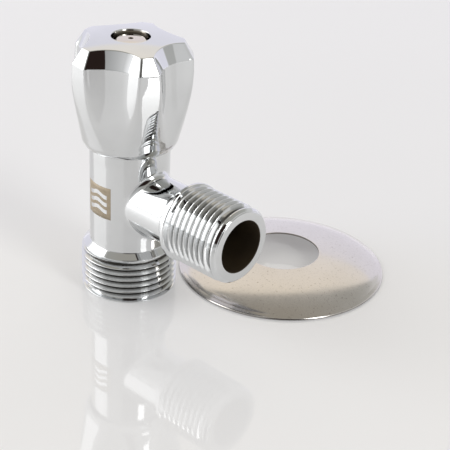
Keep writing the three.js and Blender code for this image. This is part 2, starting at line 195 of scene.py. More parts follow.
class Skin:
    """Collects patches of a surface and welds them into one mesh."""

    def __init__(self):
        self.points = []
        self.shades = []
        self.faces = []
        self.count = 0

    def grid(self, rows, wrap=True, shift=0, shade=None):
        """rows[j][i] is a point. Neighbouring rows are joined by quads. With wrap, the last column
        joins the first, shift rows further on. shade is how much painted shade darkens each point,
        from 0 to 1."""
        rows = np.asarray(rows, float)
        height, width = rows.shape[:2]
        index = self.count + np.arange(height * width).reshape(height, width)
        self.points.append(rows.reshape(-1, 3))
        self.shades.append(np.zeros(height * width) if shade is None else np.ravel(shade))
        self.count += height * width
        for j in range(height - 1):
            for i in range(width if wrap else width - 1):
                over = i + 1 == width
                right, up = (0, shift) if over else (i + 1, 0)
                if j + 1 + up < height:
                    self.faces.append((index[j, i], index[j + up, right],
                                       index[j + 1 + up, right], index[j + 1, i]))

    def fan(self, ring, tip, shade=0.0):
        """Closes a ring of points with triangles to one point."""
        first = self.count
        ring = np.asarray(ring, float)
        self.points.append(np.vstack([ring, [tip]]))
        self.shades.append(np.full(len(ring) + 1, shade))
        self.count += len(ring) + 1
        for i in range(len(ring)):
            self.faces.append((first + i, first + (i + 1) % len(ring), first + len(ring)))

    def mesh(self, name, at, turn=None):
        """The welded mesh. at is in millimetres; turn is a 3x3 matrix applied first."""
        points = np.vstack(self.points)
        if turn is not None:
            points = points @ np.asarray(turn).T
        mesh = bpy.data.meshes.new(name)
        mesh.from_pydata(((points + at) * MM).tolist(), [], self.faces)
        groove = mesh.attributes.new("groove", "FLOAT", "POINT")
        groove.data.foreach_set("value", np.concatenate(self.shades))
        work = bmesh.new()
        work.from_mesh(mesh)
        bmesh.ops.remove_doubles(work, verts=work.verts, dist=2e-6)
        bmesh.ops.dissolve_degenerate(work, edges=work.edges, dist=1e-7)
        bmesh.ops.recalc_face_normals(work, faces=work.faces)
        work.to_mesh(mesh)
        work.free()
        return mesh


def add_object(name, mesh, material, sharp_degrees=40):
    thing = bpy.data.objects.new(name, mesh)
    bpy.context.collection.objects.link(thing)
    mesh.shade_smooth()
    mesh.set_sharp_from_angle(angle=math.radians(sharp_degrees))
    mesh.materials.append(material)
    return thing


def ring_row(radius, height, angles):
    return np.stack([radius * np.cos(angles), radius * np.sin(angles),
                     np.broadcast_to(height, angles.shape)], axis=1)


def softened(profile, radius, steps=5):
    """An open outline of (r, z) points with each inner corner replaced by a short curve."""
    points = np.asarray(profile, float)
    out = [points[0]]
    for before, corner, after in zip(points, points[1:], points[2:]):
        lengths = np.linalg.norm(before - corner), np.linalg.norm(after - corner)
        reach = min(radius, 0.45 * lengths[0], 0.45 * lengths[1])
        start = corner + (before - corner) / lengths[0] * reach
        end = corner + (after - corner) / lengths[1] * reach
        out += [bezier(start, corner, end, t) for t in np.linspace(0, 1, steps)]
    out.append(points[-1])
    return np.array(out)


def bezier(start, corner, end, t):
    return (1 - t) ** 2 * start + 2 * t * (1 - t) * corner + t ** 2 * end


def profile_rows(profile, angles):
    return [ring_row(r, z, angles) for r, z in profile]


def even_angles(count):
    return np.arange(count) * TAU / count


def smooth_through(xs, ys, x):
    """A smooth curve through the points (xs, ys), evaluated at x."""
    xs, ys = np.asarray(xs, float), np.asarray(ys, float)
    slopes = np.gradient(ys, xs)
    k = int(np.clip(np.searchsorted(xs, x) - 1, 0, len(xs) - 2))
    span = xs[k + 1] - xs[k]
    t = (x - xs[k]) / span
    return ((2 * t ** 3 - 3 * t ** 2 + 1) * ys[k] + (t ** 3 - 2 * t ** 2 + t) * span * slopes[k]
            + (3 * t ** 2 - 2 * t ** 3) * ys[k + 1] + (t ** 3 - t ** 2) * span * slopes[k + 1])


# ---------------------------------------------------------------- threads

# Half the thread's depth, in pitches, follows from the arcs and the flat flank between them.
FLANK_LENGTH = (0.5 - 2 * THREAD_ARC * math.sin(FLANK)) / math.cos(FLANK)
HALF_DEPTH = THREAD_ARC * (1 - math.cos(FLANK)) + FLANK_LENGTH * math.sin(FLANK) / 2


def thread_shape():
    """One turn of the thread, as (part of a pitch, height in pitches) with the crest at 0. Crest
    and root are arcs, joined by flat flanks."""
    angles = np.linspace(-FLANK, FLANK, 6)
    crest = [(THREAD_ARC * math.sin(t), HALF_DEPTH - THREAD_ARC * (1 - math.cos(t))) for t in angles]
    root = [(0.5 + x, -y) for x, y in crest]

    def flat(start, end):
        """Two points on a flank, near its ends, which keep its shading flat."""
        return [(start[0] * (1 - t) + end[0] * t, start[1] * (1 - t) + end[1] * t)
                for t in (0.08, 0.92)]

    next_crest = (crest[0][0] + 1, crest[0][1])
    return crest + flat(crest[-1], root[0]) + root + flat(root[-1], next_crest)


def thread_rows(angles, crest, bottom, top, shade_power):
    """Rows of a real helical thread between two heights. Outside them the rows are squashed flat
    on the ends, and the ridge fades in and out over part of a turn. Returns the rows, how much
    painted shade darkens each point, and the rows per turn."""
    shape = thread_shape()
    per_turn = len(shape)
    turns = int(math.ceil((top - bottom) / PITCH)) + 2
    half_depth = HALF_DEPTH * PITCH
    rows, depths = [], []
    for turn in range(-1, turns):
        for part, height in shape:
            z = bottom + (turn + part + angles / TAU) * PITCH
            inside = np.minimum(z - bottom, top - z) / (THREAD_FADE * PITCH)
            keep = np.clip(inside, 0, 1)
            keep = keep * keep * (3 - 2 * keep)
            sunk = half_depth * (1 + (THREAD_FLOOR - 1) * (1 - keep))
            radius = crest - sunk + (height * PITCH) * keep
            rows.append(np.stack([radius * np.cos(angles), radius * np.sin(angles),
                                  np.clip(z, bottom, top)], axis=1))
            # Painted shade, stronger deeper in the groove.
            depths.append(max(0, 0.5 - height / HALF_DEPTH / 2) ** shade_power * keep)
    return rows, depths, per_turn


def root_radius(crest):
    """Where a thread's rows start and end."""
    return crest - HALF_DEPTH * PITCH * THREAD_FLOOR


# ---------------------------------------------------------------- valve body

def patch_loop():
    """The edge of the half tube that faces +X, anticlockwise seen from the inlet, as angles round
    the valve and heights. It starts at the middle of the right side."""
    across = BODY_COLUMNS // 2
    low, high = PATCH_BOTTOM, PATCH_TOP
    up = [(math.pi / 2, z) for z in np.linspace(low, high, SIDE_ROWS + 1)]
    over = [(a, high) for a in np.linspace(math.pi / 2, -math.pi / 2, across + 1)]
    down = [(-math.pi / 2, z) for z in np.linspace(high, low, SIDE_ROWS + 1)]
    back = [(a, low) for a in np.linspace(-math.pi / 2, math.pi / 2, across + 1)]
    return np.array(up[:-1] + over[:-1] + down[:-1] + back[:-1])


def add_outlet_end(skin):
    """The hose end: its mouth, its thread and the collar that narrows to the tube."""
    angles = even_angles(BODY_COLUMNS) + math.pi / 2
    root = root_radius(OUTLET_R)
    mouth = softened([(0.5, 0), (OUTLET_LIP_R - 0.25, 0), (OUTLET_LIP_R, 0.15),
                      (OUTLET_LIP_R, 0.4), (root, OUTLET_THREAD_BOTTOM)], 0.15)
    skin.fan(ring_row(0.5, 0, angles), (0, 0, 0))
    # Painted shade in the groove just above the lip.
    shade = [[max(0, (OUTLET_LIP_R - r) / (OUTLET_LIP_R - root)) * (z > 0.3)] for r, z in mouth]
    skin.grid(profile_rows(mouth, angles), shade=np.repeat(shade, BODY_COLUMNS, axis=1))
    start = (OUTLET_CREST_Z - OUTLET_THREAD_BOTTOM) / PITCH * TAU
    rows, depths, per_turn = thread_rows(angles - angles[0] + start, OUTLET_R,
                                         OUTLET_THREAD_BOTTOM, OUTLET_THREAD_TOP, OUTLET_GROOVE_SHADE_POWER)
    rows = [turned_row(row, angles[0] - start) for row in rows]
    skin.grid(rows, shift=per_turn, shade=depths)
    shoulder = softened([(root, OUTLET_THREAD_TOP), (OUTLET_COLLAR_R, OUTLET_THREAD_TOP + 0.25),
                         (OUTLET_COLLAR_R - 0.05, OUTLET_COLLAR_TOP), (TUBE_R, TUBE_BOTTOM),
                         (TUBE_R, PATCH_BOTTOM)], 0.2)
    skin.grid(profile_rows(shoulder, angles))


def turned_row(row, angle):
    c, s = math.cos(angle), math.sin(angle)
    x, y, z = np.asarray(row).T
    return np.stack([x * c - y * s, x * s + y * c, z], axis=1)


def add_tube(skin):
    """The tube above the outlet: its plain back half, the patch with the branch, and the top."""
    behind = np.linspace(math.pi / 2, 3 * math.pi / 2, BODY_COLUMNS // 2 + 1)
    heights = np.linspace(PATCH_BOTTOM, PATCH_TOP, SIDE_ROWS + 1)
    skin.grid([ring_row(TUBE_R, z, behind) for z in heights], wrap=False)
    angles = even_angles(BODY_COLUMNS) + math.pi / 2
    top = softened([(TUBE_R, PATCH_TOP), (TUBE_R, BODY_TOP), (0.5, BODY_TOP)], 0.3)
    skin.grid(profile_rows(top, angles))
    skin.fan(ring_row(0.5, BODY_TOP, angles), (0, 0, BODY_TOP))


def add_branch(skin):
    """The tube's patch, the fillet and the inlet branch. One column runs from each point of the
    patch's edge through the fillet to the inlet's mouth."""
    loop = patch_loop()
    edge_y, edge_z = TUBE_R * np.sin(loop[:, 0]), loop[:, 1] - INLET_Z
    column = np.arctan2(edge_z, edge_y)
    cos, sin = np.cos(column), np.sin(column)
    ball = BRANCH_FILLET
    centre_y, centre_z = (BRANCH_R + ball) * cos, (BRANCH_R + ball) * sin
    centre_x = np.sqrt((TUBE_R + ball) ** 2 - centre_y ** 2)
    centre = np.stack([centre_x, centre_y, centre_z + INLET_Z], axis=1)
    to_branch = np.stack([0 * cos, -cos, -sin], axis=1)
    to_tube = -np.stack([centre_x, centre_y, 0 * centre_x], axis=1) / (TUBE_R + ball)
    bend = np.arccos(np.clip((to_branch * to_tube).sum(axis=1), -1, 1))

    meets = centre + to_tube * ball
    meets_angle = np.arctan2(meets[:, 1], meets[:, 0])
    rows = []
    for t in np.linspace(0, 1, 13) ** 0.8:
        angle = loop[:, 0] * (1 - t) + meets_angle * t
        height = loop[:, 1] * (1 - t) + meets[:, 2] * t
        rows.append(np.stack([TUBE_R * np.cos(angle), TUBE_R * np.sin(angle), height], axis=1))
    for t in np.linspace(0, 1, 13)[1:]:
        weights = np.sin((1 - t) * bend) / np.sin(bend), np.sin(t * bend) / np.sin(bend)
        rows.append(centre + ball * (weights[0][:, None] * to_tube + weights[1][:, None] * to_branch))
    for t in np.linspace(0, 1, 9)[1:]:
        x = centre_x * (1 - t) + BRANCH_END_X * t
        rows.append(np.stack([x, BRANCH_R * cos, BRANCH_R * sin + INLET_Z], axis=1))
    skin.grid(rows)
    add_inlet_end(skin, column)


def along_x(rows):
    """Rows about the Z axis laid along the inlet branch instead: z becomes x."""
    return [np.stack([row[:, 2], row[:, 0], row[:, 1] + INLET_Z], axis=1) for row in rows]


def add_inlet_end(skin, column):
    """The wall end: the neck, the ring, the thread and the mouth."""
    root = root_radius(INLET_R)
    face = INLET_FACE_X
    ring = softened([(BRANCH_R, BRANCH_END_X), (BRANCH_R, SHOULDER_X),
                     (NECK_R - 0.25, SHOULDER_X + 1.2), (NECK_R, SHOULDER_X + 1.5),
                     (NECK_R, RING_X - 0.6), (RING_R - 0.2, RING_X - 0.3), (RING_R, RING_X),
                     (RING_R, RING_X + 0.9), (root, INLET_THREAD_X)], 0.25)
    skin.grid(along_x(profile_rows(ring, column)))
    first = column[0]
    spread = np.mod(column - first, TAU)
    thread_end = face - INLET_LIP
    rows, depths, per_turn = thread_rows(spread, INLET_R, INLET_THREAD_X, thread_end,
                                         INLET_GROOVE_SHADE_POWER)
    skin.grid(along_x([turned_row(row, first) for row in rows]), shift=per_turn, shade=depths)
    lip = INLET_LIP_R
    mouth = softened([(root, thread_end), (root, thread_end + 0.1), (lip, thread_end + 0.4),
                      (lip, face - 0.9), (lip - 0.55, face - 0.22), (lip - 0.7, face - 0.22),
                      (lip - 0.85, face), (0.5, face)], 0.14)
    skin.grid(along_x(profile_rows(mouth, column)))
    tip = along_x([np.array([[0.0, 0.0, face]])])[0][0]
    skin.fan(along_x([ring_row(0.5, face, column)])[0], tip)


def cutter(name, profile, materials, turn=None):
    """A closed solid of revolution that is cut away from the body. Both have the same two
    materials, and the cut faces get the second."""
    skin = Skin()
    angles = even_angles(BODY_COLUMNS)
    skin.fan(ring_row(profile[0][0], profile[0][1], angles), (0, 0, profile[0][1]))
    skin.grid(profile_rows(profile, angles))
    skin.fan(ring_row(profile[-1][0], profile[-1][1], angles), (0, 0, profile[-1][1]))
    mesh = skin.mesh(name, VALVE_AT, turn)
    tool = bpy.data.objects.new(name, mesh)
    bpy.context.collection.objects.link(tool)
    for material in materials:
        mesh.materials.append(material)
    mesh.polygons.foreach_set("material_index", [1] * len(mesh.polygons))
    return tool


def cut_away(thing, cutters):
    for tool in cutters:
        boolean = thing.modifiers.new(tool.name, "BOOLEAN")
        boolean.operation = "DIFFERENCE"
        boolean.solver = "MANIFOLD"
        boolean.object = tool
    evaluated = thing.evaluated_get(bpy.context.evaluated_depsgraph_get())
    mesh = bpy.data.meshes.new_from_object(evaluated)
    thing.modifiers.clear()
    thing.data = mesh
    for tool in cutters:
        bpy.data.objects.remove(tool)


def make_body(material, inside):
    skin = Skin()
    add_outlet_end(skin)
    add_tube(skin)
    add_branch(skin)
    body = add_object("body_casting", skin.mesh("body_casting", VALVE_AT), material)
    body.data.materials.append(inside)
    waterway = cutter("waterway", [
        (OUTLET_BORE_R + 0.6, -1), (OUTLET_BORE_R + 0.4, 0), (OUTLET_BORE_R, 0.4),
        (OUTLET_BORE_R, SEAT_WEB_BOTTOM - 2), (SEAT_R, SEAT_WEB_BOTTOM), (SEAT_R, SEAT_TOP),
        (SEAT_LIP_R, SEAT_TOP), (SEAT_LIP_R, CHAMBER_FLOOR), (CHAMBER_R, CHAMBER_FLOOR),
        (CHAMBER_R, CHAMBER_TOP), (HEAD_BORE_R, CHAMBER_TOP), (HEAD_BORE_R, BODY_TOP + 1)],
        (material, inside))
    to_inlet = np.array([[0, 0, 1], [0, 1, 0], [-1, 0, 0]])
    bore = cutter("bore", [
        (INLET_BORE_R, INLET_BORE_START_X), (INLET_BORE_R, INLET_FACE_X - 0.15),
        (INLET_BORE_R + 0.15, INLET_FACE_X), (INLET_BORE_R + 0.5, INLET_FACE_X + 1)],
        (material, inside), turn=to_inlet)
    bore.data.transform(Matrix.Translation((0, 0, INLET_Z * MM)))
    cut_away(body, [waterway, bore])
    body.data.set_sharp_from_angle(angle=math.radians(40))
    return body


# ---------------------------------------------------------------- handle

# Outlines of the handle. edge is the radius of a lobe's edges, lobe and flute are the radii at the
# middle of a lobe and of a flute, half is half a lobe's width in degrees, soft rounds the edges.
HANDLE_Z = [42.7, 43.6, 46.0, 49.0, 54.5, 60.0, 63.5, 67.3]
HANDLE_SIDE = {
    "edge": [11.8, 12.6, 13.5, 14.3, 15.6, 16.5, 16.65, 16.5],
    "lobe": [11.8, 12.6, 13.4, 14.2, 15.4, 16.2, 16.4, 16.3],
    "flute": [11.8, 12.5, 13.0, 13.2, 13.2, 12.9, 12.7, 12.45],
    "half": [32, 31, 25, 18, 13.2, 12, 11, 10],
    "soft": [1.0, 1.5, 2.4, 2.4, 1.5, 0.9, 0.6, 0.5],
}
HANDLE_RIM = {"edge": 14.0, "lobe": 13.95, "flute": 10.44, "half": 6.7, "soft": 0.35}
CROWN = 0.0062  # the top is a shallow dome, and falls by this times the radius squared
LOBE_POINTS, EDGE_POINTS, FLUTE_POINTS = 9, 6, 25


def arc_radius(edge, to_edge, middle, angle):
    """Radius, at an angle from its middle, of the arc through two points at radius edge, to_edge
    either side, and one at radius middle between them."""
    half_chord = edge * math.sin(to_edge)
    depth = edge * math.cos(to_edge) - middle
    if abs(depth) < 1e-4:
        return edge * math.cos(to_edge) / np.cos(angle)
    arc = (half_chord ** 2 + depth ** 2) / (2 * depth)
    centre = middle + arc
    reach = np.sqrt(arc ** 2 - (centre * np.sin(angle)) ** 2)
    return centre * np.cos(angle) - np.sign(arc) * reach


def polar_points(radius, angle):
    return np.stack([radius * np.cos(angle), radius * np.sin(angle)], axis=-1)


def outline(edge, lobe, flute, half, soft):
    """The handle's closed outline at one height, anticlockwise, with softened lobe edges."""
    half = math.radians(half)
    gap = math.pi / LOBES - half
    cut = soft / edge
    points = []
    for k in range(LOBES):
        lobe_at = LOBE_TURN + k * TAU / LOBES
        flute_at = lobe_at + math.pi / LOBES

        def on_lobe(angle):
            return polar_points(arc_radius(edge, half, lobe, angle), lobe_at + angle)

        def on_flute(angle):
            return polar_points(arc_radius(edge, gap, flute, angle), flute_at + angle)

        inner = np.linspace(-half + cut, half - cut, LOBE_POINTS)
        hollow = np.linspace(-gap + cut, gap - cut, FLUTE_POINTS)
        points += [on_lobe(a) for a in inner]
        for t in np.linspace(0, 1, EDGE_POINTS + 2)[1:-1]:
            points.append(bezier(on_lobe(half - cut), on_lobe(half), on_flute(cut - gap), t))
        points += [on_flute(a) for a in hollow]
        next_lobe = lobe_at + TAU / LOBES
        ahead = polar_points(arc_radius(edge, half, lobe, cut - half), next_lobe + cut - half)
        for t in np.linspace(0, 1, EDGE_POINTS + 2)[1:-1]:
            points.append(bezier(on_flute(gap - cut), on_flute(gap), ahead, t))
    return np.array(points)


def outline_at(z):
    sizes = {name: smooth_through(HANDLE_Z, values, z) for name, values in HANDLE_SIDE.items()}
    return level_row(outline(**sizes), z)


def level_row(flat, z):
    return np.column_stack([flat, np.full(len(flat), z)])


def soft_corner(below, corner, above, reach, steps=6):
    """Rows that turn a hard edge, where three rows meet, into a soft one."""
    down, up = below - corner, above - corner
    start = corner + down / np.linalg.norm(down, axis=1)[:, None] * reach
    end = corner + up / np.linalg.norm(up, axis=1)[:, None] * reach
    return [bezier(start, corner, end, t) for t in np.linspace(0, 1, steps)]


def circle_like(row, radius, z):
    """A ring whose points lie at the same angles as a row's."""
    angle = np.arctan2(row[:, 1], row[:, 0])
    return ring_row(radius, z, angle)


def hexagon_like(row, across_flats, z):
    angle = np.arctan2(row[:, 1], row[:, 0])
    turn = np.mod(angle, math.pi / 3) - math.pi / 6
    return ring_row(across_flats / 2 / np.cos(turn), z, angle)


def dome_height(radius):
    return HANDLE_TOP - CROWN * (radius ** 2 - RECESS_R ** 2)


def make_handle(material):
    shoulder = outline_at(HANDLE_Z[-1])
    rim = outline(**HANDLE_RIM)
    rim_r = np.hypot(*rim.T)
    rim = np.column_stack([rim, dome_height(rim_r)])
    top = []
    for t in np.linspace(0, 1, 14):
        radius = rim_r * (1 - t) + (RECESS_R + RECESS_EDGE) * t
        top.append(np.column_stack([rim[:, :2] * (radius / rim_r)[:, None], dome_height(radius)]))
    side = [outline_at(z) for z in np.linspace(HANDLE_Z[1], HANDLE_Z[-1] - 0.5, 40)]
    rows = [circle_like(rim, FOOT_R - 0.45, HANDLE_BOTTOM + 0.25),
            circle_like(rim, FOOT_R - 0.3, HANDLE_BOTTOM)]
    rows += [circle_like(rim, FOOT_R + FOOT_ROUND * math.sin(t),
                         FOOT_ROUND_Z - FOOT_ROUND * math.cos(t))
             for t in np.linspace(0, 1.0, 5)]
    rows += side
    rows += soft_corner(side[-1], shoulder, rim, 0.22)
    rows += [shoulder + (rim - shoulder) * t for t in (0.08, 0.2, 0.4, 0.6, 0.8, 0.92)]
    rows += soft_corner(shoulder, rim, top[1], 0.2)
    rows += top[1:]
    rows += [circle_like(rim, RECESS_R + RECESS_EDGE * (1 - math.sin(t)),
                         HANDLE_TOP - RECESS_EDGE * (1 - math.cos(t)))
             for t in np.linspace(0.2, math.pi / 2, 6)]
    wall = [(RECESS_R, HANDLE_TOP - 1.1), (RECESS_R, RECESS_FLOOR), (SCREW_HOLE_R, RECESS_FLOOR),
            (SCREW_HOLE_R, SOCKET_TOP)]
    first_wall, last_wall = len(rows), len(rows) + len(wall)
    rows += [circle_like(rim, r, z) for r, z in wall]
    rows += [hexagon_like(rim, SOCKET_HEX, z) for z in (SOCKET_TOP, SOCKET_BOTTOM)]
    rows += [circle_like(rim, r, z) for r, z in
             [(SOCKET_WALL_R, SOCKET_BOTTOM), (SOCKET_WALL_R, HOLLOW_TOP), (HOLLOW_R, HOLLOW_TOP),
              (HOLLOW_R, HOLLOW_BOTTOM), (SKIRT_R, HOLLOW_BOTTOM - 1)]]
    rows.append(rows[0])
    # Painted shade down the recess wall, half as strong where its rounded top edge ends.
    shade = np.zeros((len(rows), len(rim)))
    shade[first_wall - 1] = RECESS_PAINTED_SHADE / 2
    shade[first_wall:last_wall] = RECESS_PAINTED_SHADE
    skin = Skin()
    skin.grid(rows, shade=shade)
    return add_object("handle_casting", skin.mesh("handle_casting", VALVE_AT), material, 50)


def make_cap(material):
    """A plug with a skirt, a slightly domed face and a dimple in its middle darkened with painted shade.
    """
    low, high = CAP_LOW[2], CAP_HIGH[2]
    ceiling, floor = low + CAP_DEPTH, high - CAP_DIMPLE_DEPTH
    skirt = [(1.0, ceiling), (CAP_R - CAP_WALL, ceiling), (CAP_R - CAP_WALL, low), (CAP_R, low)]
    face = [(CAP_R, high - CAP_EDGE_FALL), (CAP_FACE_R, high - CAP_FACE_FALL),
            (CAP_FACE_R / 2, high - 0.03)]
    profile = softened([*skirt, *face, (CAP_DIMPLE_R, high), (CAP_DIMPLE_R, floor)], 0.16)
    # Painted shade in the dimple.
    dark = [DIMPLE_PAINTED_SHADE if r < CAP_DIMPLE_R + 0.05 else 0.0 for r, _ in profile]
    angles = even_angles(CAP_COLUMNS)
    skin = Skin()
    skin.fan(ring_row(1.0, ceiling, angles), (0, 0, ceiling))
    skin.grid(profile_rows(profile, angles), shade=np.repeat(dark, CAP_COLUMNS))
    skin.fan(ring_row(CAP_DIMPLE_R, floor, angles), (0, 0, floor), DIMPLE_PAINTED_SHADE)
    return add_object("cap_button", skin.mesh("cap_button", VALVE_AT), material)


# ---------------------------------------------------------------- escutcheon

def dome_face(drop, to_radius):
    """Points of one face of the dome, from its hole outwards, closer together near the rim."""
    part = np.sin(np.linspace(0, math.pi / 2, 48))
    radius = PLATE_HOLE_R + (to_radius - PLATE_HOLE_R) * part
    return list(zip(radius, DOME_HEIGHT * (1 - (radius / DOME_R) ** 2) ** DOME_POWER - drop))


def make_plate(material):
    """A spun dome with a rounded rim: one closed sheet. Painted shade darkens its hole's edge and the
    foot of its rim.
    """
    outer = dome_face(0, DOME_EDGE_R)
    inner = dome_face(PLATE_SHEET, PLATE_R - PLATE_FOOT)
    edge = [outer[-1], (PLATE_R - PLATE_EDGE_ROUND, 2 * PLATE_EDGE_HEIGHT),
            (PLATE_R, PLATE_EDGE_HEIGHT), (PLATE_R - PLATE_EDGE_ROUND, 0.0)]
    rim = softened([outer[-2], *edge, (PLATE_R - PLATE_FOOT, 0.0), inner[-1]], 0.5)
    hole = softened([inner[1], inner[0], outer[0], outer[1]], 0.06)
    profile = [*hole, *outer[2:-2], *rim, *inner[::-1][1:-2]]
    profile.append(profile[0])
    # Painted shade on the hole's edge and the foot of the rim.
    dark = [EDGE_PAINTED_SHADE if r < PLATE_HOLE_R + 0.03 or z < PAINTED_EDGE_SHADE_TOP else 0.0 for r, z in profile]
    skin = Skin()
    skin.grid(profile_rows(profile, even_angles(PLATE_COLUMNS)), shade=np.repeat(dark, PLATE_COLUMNS))
    return add_object("plate_spinning", skin.mesh("plate_spinning", PLATE_AT), material, 60)


# ---------------------------------------------------------------- badge

def make_badge(material):
    """A thin etched square let into the tube, with a plain ripple pattern."""
    half = BADGE_SIZE / 2 / TUBE_R
    across = np.linspace(BADGE_MIDDLE - half, BADGE_MIDDLE + half, 40)
    heights = np.linspace(BADGE_Z - BADGE_SIZE / 2, BADGE_Z + BADGE_SIZE / 2, 9)
    mesh = bpy.data.meshes.new("badge_etching")
    points, faces = [], []
    for z in heights:
        points += (ring_row(TUBE_R + BADGE_LIFT, z, across) + VALVE_AT).tolist()
    width = len(across)
    for j in range(len(heights) - 1):
        for i in range(width - 1):
            a = j * width + i
            faces.append((a, a + 1, a + 1 + width, a + width))
    mesh.from_pydata((np.array(points) * MM).tolist(), [], faces)
    layer = mesh.uv_layers.new(name="badge")
    for loop in mesh.loops:
        row, column = divmod(loop.vertex_index, width)
        layer.data[loop.index].uv = (column / (width - 1), row / (len(heights) - 1))
    badge = add_object("badge_etching", mesh, material)
    plate = badge.modifiers.new("plate", "SOLIDIFY")
    plate.thickness = BADGE_SHEET * MM
    return badge


# ---------------------------------------------------------------- materials

def new_material(name):
    material = bpy.data.materials.new(name)
    material.use_nodes = True
    tree = material.node_tree
    return material, tree, tree.nodes["Principled BSDF"]


def link(tree, a, b):
    tree.links.new(a, b)


def noise(tree, scale, detail=3, roughness=0.5, stretch=None):
    coords = tree.nodes.new("ShaderNodeTexCoord")
    source = coords.outputs["Object"]
    if stretch:
        mapping = tree.nodes.new("ShaderNodeMapping")
        mapping.inputs["Scale"].default_value = stretch
        link(tree, source, mapping.inputs["Vector"])
        source = mapping.outputs["Vector"]
    node = tree.nodes.new("ShaderNodeTexNoise")
    node.inputs["Scale"].default_value = scale
    node.inputs["Detail"].default_value = detail
    node.inputs["Roughness"].default_value = roughness
    link(tree, source, node.inputs["Vector"])
    return node.outputs["Fac"]


def ramp(tree, fac, stops):
    node = tree.nodes.new("ShaderNodeValToRGB")
    elements = node.color_ramp.elements
    while len(elements) < len(stops):
        elements.new(0.5)
    for element, (at, colour) in zip(elements, stops):
        element.position = at
        element.color = (*colour, 1)
    link(tree, fac, node.inputs["Fac"])
    return node.outputs["Color"]


def remap(tree, fac, low, high, from_low=0.0, from_high=1.0):
    node = tree.nodes.new("ShaderNodeMapRange")
    node.inputs["From Min"].default_value = from_low
    node.inputs["From Max"].default_value = from_high
    node.inputs["To Min"].default_value = low
    node.inputs["To Max"].default_value = high
    link(tree, fac, node.inputs["Value"])
    return node.outputs["Result"]


def mixed(tree, fac, a, b, blend="MIX"):
    """Colour a blended with b. fac, a and b are sockets or plain values."""
    node = tree.nodes.new("ShaderNodeMix")
    node.data_type = "RGBA"
    node.blend_type = blend
    for name, value in (("Factor", fac), ("A", a), ("B", b)):
        socket = [s for s in node.inputs if s.name == name and s.enabled][0]
        if isinstance(value, bpy.types.NodeSocket):
            link(tree, value, socket)
        else:
            socket.default_value = value if name == "Factor" else (*value, 1)
    return [s for s in node.outputs if s.enabled][0]


def bump(tree, fac, strength, distance):
    node = tree.nodes.new("ShaderNodeBump")
    node.inputs["Strength"].default_value = strength
    node.inputs["Distance"].default_value = distance
    link(tree, fac, node.inputs["Height"])
    return node


def painted_shade_ramp(tree):
    """White, darker with painted shade: deep in a groove, on the plate's edges, in the recess and
    in the cap's dimple.
    """
    groove = tree.nodes.new("ShaderNodeAttribute")
    groove.attribute_name = "groove"
    return ramp(tree, groove.outputs["Fac"], [
        (0.25, (1, 1, 1)), (0.6, (0.62, 0.62, 0.61)), (0.85, (0.2, 0.19, 0.18)), (1, (0.12, 0.11, 0.1))])


def chrome(name, ripple=0.25, haze=(0.035, 0.075), tint=(1, 1, 1)):
    """Bright plate: nearly a mirror, a little wavy, with faint handling haze, and darkened with
    painted shade deep in the thread grooves, in the handle's recess and in the cap's dimple."""
    material, tree, shader = new_material(name)
    shader.inputs["Metallic"].default_value = 1
    smear = noise(tree, 180, 4, 0.6)
    link(tree, remap(tree, smear, *haze, 0.4, 0.7), shader.inputs["Roughness"])
    plate = ramp(tree, noise(tree, 90, 2), [(0.3, (0.68, 0.69, 0.695)), (0.7, (0.73, 0.74, 0.745))])
    plate = mixed(tree, 1.0, plate, tint, "MULTIPLY")
    link(tree, mixed(tree, 1.0, plate, painted_shade_ramp(tree), "MULTIPLY"), shader.inputs["Base Color"])
    waves = bump(tree, noise(tree, 130, 1), ripple, 0.00003)
    link(tree, waves.outputs["Normal"], shader.inputs["Normal"])
    return material


def spun_stainless():
    material, tree, shader = new_material("spun_stainless")
    shader.inputs["Metallic"].default_value = 1
    tint = ramp(tree, noise(tree, 60, 4, 0.6), [(0.35, (0.66, 0.63, 0.60)), (0.65, (0.71, 0.68, 0.655))])
    specks = ramp(tree, noise(tree, 2000, 2, 0.6), [(0.30, (0.5, 0.46, 0.43)), (0.37, (1, 1, 1))])
    surface = mixed(tree, 0.6, tint, specks, "MULTIPLY")
    # Painted shade on the hole's edge and the foot of the rim.
    link(tree, mixed(tree, 1.0, surface, painted_shade_ramp(tree), "MULTIPLY"), shader.inputs["Base Color"])
    link(tree, remap(tree, noise(tree, 120, 5, 0.7), 0.10, 0.21, 0.35, 0.65), shader.inputs["Roughness"])
    grain = bump(tree, noise(tree, 700, 4, 0.7), 0.12, 0.00004)
    link(tree, grain.outputs["Normal"], shader.inputs["Normal"])
    return material


def turned_metal(name, dark, light, roughness):
    """Machined metal: fine rings round the Z axis and a slightly uneven colour."""
    material, tree, shader = new_material(name)
    shader.inputs["Metallic"].default_value = 1
    link(tree, ramp(tree, noise(tree, 220, 4), [(0.3, dark), (0.7, light)]), shader.inputs["Base Color"])
    link(tree, remap(tree, noise(tree, 400, 3), roughness * 0.7, roughness * 1.3),
         shader.inputs["Roughness"])
    rings = bump(tree, noise(tree, 400, 2, 0.5, (0.05, 0.05, 6)), 0.3, 0.00005)
    link(tree, rings.outputs["Normal"], shader.inputs["Normal"])
    return material


def moulded(name, dark, light, roughness, grain=600):
    """Rubber, fibre or plastic: a fine moulded grain and a little mottling."""
    material, tree, shader = new_material(name)
    link(tree, ramp(tree, noise(tree, 150, 4), [(0.3, dark), (0.7, light)]), shader.inputs["Base Color"])
    link(tree, remap(tree, noise(tree, 500, 3), roughness * 0.8, min(1, roughness * 1.2)),
         shader.inputs["Roughness"])
    skin = bump(tree, noise(tree, grain, 3), 0.25, 0.00006)
    link(tree, skin.outputs["Normal"], shader.inputs["Normal"])
    return material


